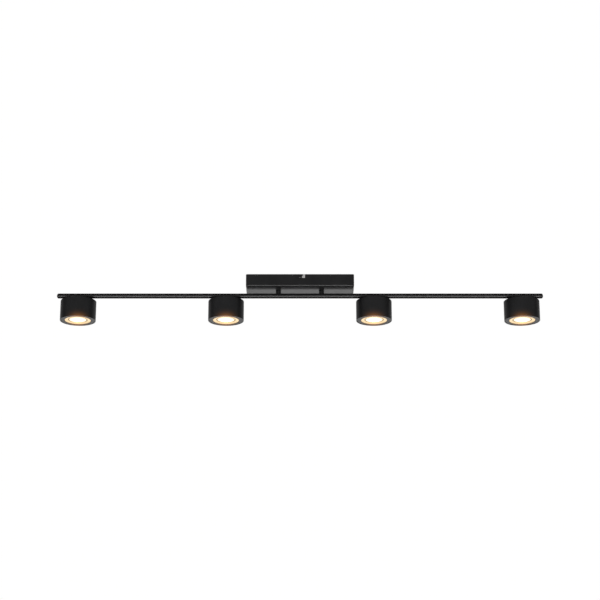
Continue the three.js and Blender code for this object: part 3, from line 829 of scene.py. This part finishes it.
def make_driver():
    low, high = map(Vector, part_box("led_driver"))
    seam = low.z + (high.z - low.z) * 0.68
    case = block("driver_case", low, (high.x, high.y, seam), DRIVER_PLASTIC, 2.4 * MM, 0.9 * MM)
    placed(case, "fixture", "driver_case", "led_driver")
    lid = block(
        "driver_lid",
        (low.x + 0.3 * MM, low.y + 0.3 * MM, seam + 0.15 * MM),
        (high.x - 0.3 * MM, high.y - 0.3 * MM, high.z),
        DRIVER_PLASTIC,
        2.2 * MM,
        0.8 * MM,
    )
    grooves = []
    groove_count = 9
    groove_pitch = 4 * MM
    for i in range(groove_count):
        x = middle("led_driver").x + (i - (groove_count - 1) / 2) * groove_pitch
        low_corner = (x - 0.9 * MM, low.y + 4 * MM, high.z - 0.7 * MM)
        high_corner = (x + 0.9 * MM, high.y - 4 * MM, high.z + 2 * MM)
        grooves.append(block("cutter", low_corner, high_corner, None, 0.8 * MM))
    carve(lid, *grooves)
    placed(lid, "fixture", "driver_case")
    head = (1.6 * MM, 1.0 * MM)
    shank = (0.8 * MM, 3 * MM)
    for number, x in enumerate((low.x + 5 * MM, high.x - 5 * MM), 1):
        seat = (x, middle("led_driver").y, high.z - 1.1 * MM)
        lid_screw = screw(f"driver_lid_screw_{number}", seat, (0, 0, 1), head, shank, STEEL, 0.5 * MM)
        placed(lid_screw, "fixture", "steel_screw")


def make_terminal():
    terminal = from_cad("terminal_body", "terminal_block", TERMINAL_PLASTIC, ease=0.25 * MM)
    placed(terminal, "fixture", "terminal_plastic", "terminal_block")
    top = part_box("terminal_block")[1][2]
    x = middle("terminal_block").x
    radius = 1.8 * MM
    foot = top - 5 * MM
    profile = [
        (0, foot),
        (radius, foot, 0.1 * MM),
        (radius, top - 1.6 * MM, 0.3 * MM),
        (0, top - 1.4 * MM),
    ]
    for number, y in enumerate((-TERMINAL_PITCH, 0, TERMINAL_PITCH), 1):
        clamp = turned(f"terminal_clamp_{number}", profile, BRASS, (x, y, 0), segments=40)
        slot_low = (x - 2 * MM, y - 0.3 * MM, top - 2.2 * MM)
        slot_high = (x + 2 * MM, y + 0.3 * MM, top)
        carve(clamp, block("cutter", slot_low, slot_high, None, 0.1 * MM, 0.1 * MM))
        placed(clamp, "fixture", "brass_screw")


def make_earth():
    low, high = map(Vector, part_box("earth_screw"))
    head = (3.6 * MM, 2.4 * MM)
    shank = (SCREW_RADIUS, high.x - low.x - head[1])
    seat = (high.x - head[1], 0, middle("earth_screw").z)
    earth_screw = screw("earth_clamp_screw", seat, (1, 0, 0), head, shank, BRASS)
    placed(earth_screw, "fixture", "brass_screw", "earth_screw")


# ---- Leads ----

LEAD_BEND = 4 * MM
BEND_STEPS = 12
LOW_LEAD_Z = -14 * MM
HIGH_LEAD_Z = -11.7 * MM


def bent_route(corners, bend, step):
    """Evenly spaced points along straight runs joined by round bends."""
    corners = [Vector(corner) for corner in corners]
    rough = [corners[0]]
    for before, corner, after in zip(corners, corners[1:], corners[2:]):
        inward = (before - corner).normalized()
        onward = (after - corner).normalized()
        turn = math.pi - inward.angle(onward)
        reach = bend * math.tan(turn / 2)
        start = corner + inward * reach
        side = (onward - onward.project(inward)).normalized()
        for i in range(BEND_STEPS + 1):
            angle = turn * i / BEND_STEPS
            rough.append(start - inward * bend * math.sin(angle) + side * bend * (1 - math.cos(angle)))
    rough.append(corners[-1])
    points = [rough[0]]
    for start, end in zip(rough, rough[1:]):
        pieces = max(1, round((end - start).length / step))
        points += [start.lerp(end, i / pieces) for i in range(1, pieces + 1)]
    return points


def wire(name, points, radius, material, twist=0.0, offset=0.0, phase=0.0, sides=10):
    """A round wire swept along points. With an offset it winds round them, one turn in each length twist."""
    side = (points[1] - points[0]).orthogonal().normalized()
    loops = []
    travelled = 0.0
    for i, point in enumerate(points):
        ahead = points[min(i + 1, len(points) - 1)] - points[max(i - 1, 0)]
        heading = ahead.normalized()
        side = (side - side.project(heading)).normalized()
        across = heading.cross(side)
        if i:
            travelled += (point - points[i - 1]).length
        angle = phase + (2 * math.pi * travelled / twist if twist else 0)
        centre = point + (side * math.cos(angle) + across * math.sin(angle)) * offset
        angles = [2 * math.pi * k / sides for k in range(sides)]
        loops.append([centre + (side * math.cos(a) + across * math.sin(a)) * radius for a in angles])
    return from_loops(name, loops, material)


def twisted_pair(name, corners, bend, first, second, slot, node):
    """Two thin insulated wires twisted round each other, in the space of the CAD's one lead."""
    points = bent_route(corners, bend, 1.2 * MM)
    radius = 0.37 * MM
    offset = 0.39 * MM
    twist = 11 * MM
    for number, (material, phase) in enumerate(((first, 0.0), (second, math.pi)), 1):
        strand = wire(f"{name}_wire_{number}", points, radius, material, twist, offset, phase)
        placed(strand, "fixture", slot, node)


def head_lead_route(n):
    """The lead to head n: out of the driver's left end, down a post, along the rail and into a stem."""
    index = n - 1
    exit_pitch = 3 * MM
    turn_pitch = 3.6 * MM
    head_x = HEAD_X[n]
    side = math.copysign(1, head_x)
    offset = 1 * MM if n in (1, 4) else -1 * MM
    driver_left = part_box("led_driver")[0][0]
    post_x = side * (POST_X["right"] + offset * 1.1)
    canopy_z = LOW_LEAD_Z if n in (1, 3) else HIGH_LEAD_Z
    exit_y = middle("led_driver").y + index * exit_pitch - 5 * MM
    turn_x = driver_left - 5.7 * MM - index * turn_pitch
    route = [(driver_left - FIT, exit_y, canopy_z), (turn_x, exit_y, canopy_z)]
    if side < 0:
        route.append((turn_x, 0, canopy_z))
    else:
        step = 3 * MM if n == 4 else 0
        front_y = -14 * MM - step
        near_post_x = 29 * MM - step
        route += [(turn_x, front_y, canopy_z), (near_post_x, front_y, canopy_z), (near_post_x, 0, canopy_z)]
    route += [(post_x, 0, canopy_z), (post_x, 0, RAIL_Z + offset)]
    route += [(head_x, 0, RAIL_Z + offset), (head_x, 0, DRUM_TOP - 1 * MM)]
    return route


def make_leads():
    for n in HEADS:
        route = head_lead_route(n)
        sleeves = (BLACK_SLEEVE, RED_SLEEVE)
        twisted_pair(f"head_{n}", route, LEAD_BEND, *sleeves, "lead_sleeve_black", f"lead_{n}")
    driver_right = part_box("led_driver")[1][0]
    driver_y = middle("led_driver").y
    terminal_low, terminal_high = map(Vector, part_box("terminal_block"))
    wire_z = middle("mains_lead").z
    turn_x = driver_right + 10 * MM
    mains_route = [
        (driver_right + FIT, driver_y, wire_z),
        (turn_x, driver_y, wire_z),
        (turn_x, TERMINAL_PITCH, wire_z),
        (terminal_low.x + 2 * MM, TERMINAL_PITCH, wire_z),
    ]
    sleeves = (BROWN_SLEEVE, BLUE_SLEEVE)
    twisted_pair("mains", mains_route, 3.6 * MM, *sleeves, "lead_sleeve_grey", "mains_lead")
    make_earth_lead(terminal_high.x, wire_z)


def make_earth_lead(terminal_x, wire_z):
    """A ring lug under the earth screw, and the striped wire crimped into its barrel."""
    lead_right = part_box("earth_lead")[1][0]
    screw_z = middle("earth_screw").z
    plate = 0.8 * MM
    eye = 2.25 * MM
    rim = 3.4 * MM
    lug_x = lead_right - 2 * plate
    lug_foot = screw_z - 5.5 * MM
    ring = [(eye, 0), (rim, 0, 0.15 * MM), (rim, plate, 0.15 * MM), (eye, plate)]
    lug = turned("earth_lug", ring, BRASS, (lug_x, 0, screw_z), "X", segments=48, closed=True)
    tail_low = (lug_x, -1.4 * MM, lug_foot)
    tail_high = (lug_x + plate, 1.4 * MM, screw_z - 2.7 * MM)
    tail = block("tail", tail_low, tail_high, BRASS, 0.1 * MM, 0.1 * MM)
    barrel_x = lead_right - plate
    barrel_profile = [(0.78 * MM, -3 * MM), (1.0 * MM, -3 * MM), (1.0 * MM, 0), (0.78 * MM, 0)]
    barrel_top = (barrel_x, 0, lug_foot + 1 * MM)
    barrel = turned("barrel", barrel_profile, BRASS, barrel_top, segments=24, closed=True)
    carve(lug, tail, barrel, operation="UNION")
    placed(lug, "fixture", "brass_screw", "earth_lead")
    corners = [(barrel_x, 0, lug_foot), (barrel_x, 0, wire_z), (terminal_x - 2 * MM, 0, wire_z)]
    sleeve = wire("earth_wire", bent_route(corners, 3.2 * MM, 0.8 * MM), 0.75 * MM, EARTH_SLEEVE, sides=16)
    placed(sleeve, "fixture", "earth_sleeve", "earth_lead")


# ---- Heads ----


def make_neck(n):
    """The collar under the rail and the stem that turns in it."""
    low, high = map(Vector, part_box(f"neck_collar_{n}"))
    radius = (high.x - low.x) / 2
    bore = 2.7 * MM
    lip_room = 3.4 * MM
    profile = [
        (bore, low.z),
        (radius, low.z, 0.5 * MM),
        (radius, high.z, 0.1 * MM),
        (bore, high.z),
    ]
    collar = turned(f"collar_bush_{n}", profile, BLACK_PAINT, segments=64, closed=True)
    ledge = bar(lip_room, RAIL_Z - RAIL_RADIUS - FIT, high.z + 2 * MM)
    carve(collar, rail_clearance(), ledge)
    collar.data.transform(Matrix.Translation((HEAD_X[n], 0, 0)))
    placed(collar, "fixture", "black_paint", f"neck_collar_{n}")
    stem = make_stem(n, low.z)
    placed(stem, f"swivel_{n}", "black_paint", f"swivel_stem_{n}")


def make_stem(n, collar_foot):
    low, high = map(Vector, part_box(f"swivel_stem_{n}"))
    radius = (high.x - low.x) / 2
    bore = 1.6 * MM
    spigot = 2.4 * MM
    lip = 3.1 * MM
    lip_height = 0.7 * MM
    pivot_hole = 1.8 * MM
    window_half = 1.3 * MM
    pivot_z = low.z + radius
    shoulder = pivot_z + radius
    top = high.z
    profile = [
        (bore, shoulder),
        (radius, shoulder, 0.2 * MM),
        (radius, collar_foot - FIT, 0.3 * MM),
        (spigot, collar_foot - FIT),
        (spigot, top - lip_height),
        (lip, top - lip_height, 0.15 * MM),
        (lip, top, 0.3 * MM),
        (bore, top, 0.2 * MM),
    ]
    stem = turned(f"stem_{n}", profile, BLACK_PAINT, segments=64, closed=True)
    half = 2 * MM
    angles = [i * math.pi / 24 for i in range(25)]
    outline = [(-radius, shoulder + 0.4 * MM)]
    outline += [(-radius * math.cos(a), pivot_z - radius * math.sin(a)) for a in angles]
    outline.append((radius, shoulder + 0.4 * MM))
    faces = [[(x, y, z) for y, z in outline] for x in (-half, half)]
    tongue = from_loops("tongue", faces, BLACK_PAINT)
    carve(stem, tongue, operation="UNION")
    window_z = pivot_z + 2.5 * MM
    window_high = (window_half, radius + 1 * MM, shoulder)
    window = block("cutter", (-window_half, 0, window_z), window_high, None, 0.3 * MM)
    carve(
        stem,
        bar(pivot_hole, -5 * MM, 5 * MM, (0, 0, pivot_z), "X"),
        window,
        bar(bore, window_z, shoulder + 1 * MM),
    )
    stem.data.transform(Matrix.Translation((HEAD_X[n], 0, 0)))
    return stem


def stadium_cutter(length, width, low_z, high_z):
    loops = [rounded_loop(length, width, width / 2 - 0.01 * MM, z, steps=16) for z in (low_z, high_z)]
    cutter = from_loops("cutter", loops, None)
    cutter.data.transform(Matrix.Rotation(math.pi / 2, 4, "Z"))
    return cutter


def make_drum(n):
    inner = DRUM_RADIUS - DRUM_WALL
    plate_z = DRUM_TOP - DRUM_WALL
    slot_length = 14.9 * MM
    slot_width = 7.6 * MM
    profile = [
        (0, plate_z),
        (inner, plate_z, 0.8 * MM),
        (inner, DRUM_BOTTOM, 0.25 * MM),
        (DRUM_RADIUS, DRUM_BOTTOM, 0.5 * MM),
        (DRUM_RADIUS, DRUM_TOP, 0.9 * MM),
        (0, DRUM_TOP),
    ]
    drum = turned(f"drum_{n}", profile, BLACK_PAINT, segments=128)
    carve(drum, stadium_cutter(slot_length, slot_width, plate_z - 3 * MM, DRUM_TOP + 3 * MM))
    drum.data.transform(Matrix.Translation((HEAD_X[n], 0, 0)))
    placed(drum, f"head_{n}", "black_paint", f"head_housing_{n}")


def make_bezel(n):
    """The flat black ring, with a fine bead round its opening."""
    low, high = map(Vector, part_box(f"front_ring_{n}"))
    outer = (high.x - low.x) / 2
    inner = 25.6 * MM
    profile = [
        (inner, high.z, 0.2 * MM),
        (inner, low.z + 0.15 * MM, 0.15 * MM),
        (inner + 0.8 * MM, low.z + 0.15 * MM, 0.1 * MM),
        (inner + 1.0 * MM, low.z, 0.1 * MM),
        (outer, low.z, 0.3 * MM),
        (outer, high.z, 0.2 * MM),
    ]
    bezel = turned(f"bezel_{n}", profile, BLACK_RING, segments=128, closed=True)
    bezel.data.transform(Matrix.Translation((HEAD_X[n], 0, 0)))
    placed(bezel, f"head_{n}", "black_ring", f"front_ring_{n}")


def make_reflector(n):
    low, high = map(Vector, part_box(f"reflector_{n}"))
    outer = (high.x - low.x) / 2
    inner = 18.7 * MM
    face = low.z
    profile = [
        (inner, face + 1.4 * MM, 0.2 * MM),
        (inner + 1.2 * MM, face + 1.15 * MM, 0.3 * MM),
        (outer - 1.4 * MM, face + 0.25 * MM, 0.6 * MM),
        (outer - 0.5 * MM, face, 0.2 * MM),
        (outer, face, 0.15 * MM),
        (outer, high.z, 0.1 * MM),
        (outer - 1.2 * MM, high.z, 0.1 * MM),
        (outer - 1.2 * MM, face + 2.4 * MM, 0.3 * MM),
        (inner, face + 3 * MM, 0.1 * MM),
    ]
    dish = turned(f"reflector_dish_{n}", profile, REFLECTOR, segments=128, closed=True)
    dish.data.transform(Matrix.Translation((HEAD_X[n], 0, 0)))
    placed(dish, f"head_{n}", "lit_ring", f"reflector_{n}")


def make_diffuser(n):
    """The frosted lens: a shallow dome with a low step round its edge."""
    low, high = map(Vector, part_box(f"lens_{n}"))
    radius = (high.x - low.x) / 2
    dome = 1.2 * MM
    rim = low.z + dome
    spans = 8
    crown = [(radius * 0.91 * i / spans, low.z + dome * 0.75 * (i / spans) ** 2) for i in range(spans + 1)]
    profile = [
        *crown,
        (radius * 0.93, rim + 0.1 * MM, 0.1 * MM),
        (radius, rim + 0.1 * MM, 0.2 * MM),
        (radius, high.z, 0.2 * MM),
        (0, high.z),
    ]
    lens = turned(f"diffuser_{n}", profile, DIFFUSER, segments=128)
    lens.data.transform(Matrix.Translation((HEAD_X[n], 0, 0)))
    placed(lens, f"head_{n}", "lit_lens", f"lens_{n}")


def make_inner_works(n):
    """The board, heat sink, yoke and tilt screw inside the drum."""
    body = f"head_{n}"
    board = from_cad(f"led_disc_{n}", f"led_board_{n}", SOLDER_MASK, ease=0.1 * MM)
    placed(board, body, "board_white", f"led_board_{n}")
    emitter_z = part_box(f"led_board_{n}")[0][2] - 0.05 * MM
    emitter_circle = 9.5 * MM
    emitters = 6
    dome = [(0, -0.3 * MM), (0.7 * MM, -0.25 * MM), (1.15 * MM, 0), (1.15 * MM, 0.2 * MM), (0, 0.2 * MM)]
    for i in range(emitters):
        angle = 2 * math.pi * i / emitters
        x = HEAD_X[n] + emitter_circle * math.cos(angle)
        y = emitter_circle * math.sin(angle)
        emitter = turned(f"emitter_{n}_{i + 1}", dome, PHOSPHOR, (x, y, emitter_z), segments=24)
        placed(emitter, body, "board_white")
    sink = from_cad(f"finned_disc_{n}", f"heat_sink_{n}", ALUMINIUM, ease=0.2 * MM)
    placed(sink, body, "heat_sink_aluminium", f"heat_sink_{n}")
    yoke = from_cad(f"yoke_bracket_{n}", f"tilt_yoke_{n}", ZINC, ease=0.15 * MM)
    placed(yoke, body, "zinc_plate", f"tilt_yoke_{n}")
    low, high = map(Vector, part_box(f"tilt_screw_{n}"))
    head = (2.7 * MM, 1.8 * MM)
    shank = (1.5 * MM, high.x - low.x - head[1])
    seat = (high.x - head[1], 0, middle(f"tilt_screw_{n}").z)
    axle = screw(f"tilt_axle_{n}", seat, (1, 0, 0), head, shank, STEEL, 0.5 * MM)
    placed(axle, body, "steel_screw", f"tilt_screw_{n}")


# ---- Assembly ----

make_studio()
make_canopy()
make_bracket()
for side_name, side in SIDES.items():
    make_post(side_name)
    make_nut(side_name)
    make_end_cap(side_name, side)
make_rail()
make_driver()
make_terminal()
make_earth()
make_leads()
for n in HEADS:
    make_neck(n)
    make_drum(n)
    make_bezel(n)
    make_reflector(n)
    make_diffuser(n)
    make_inner_works(n)
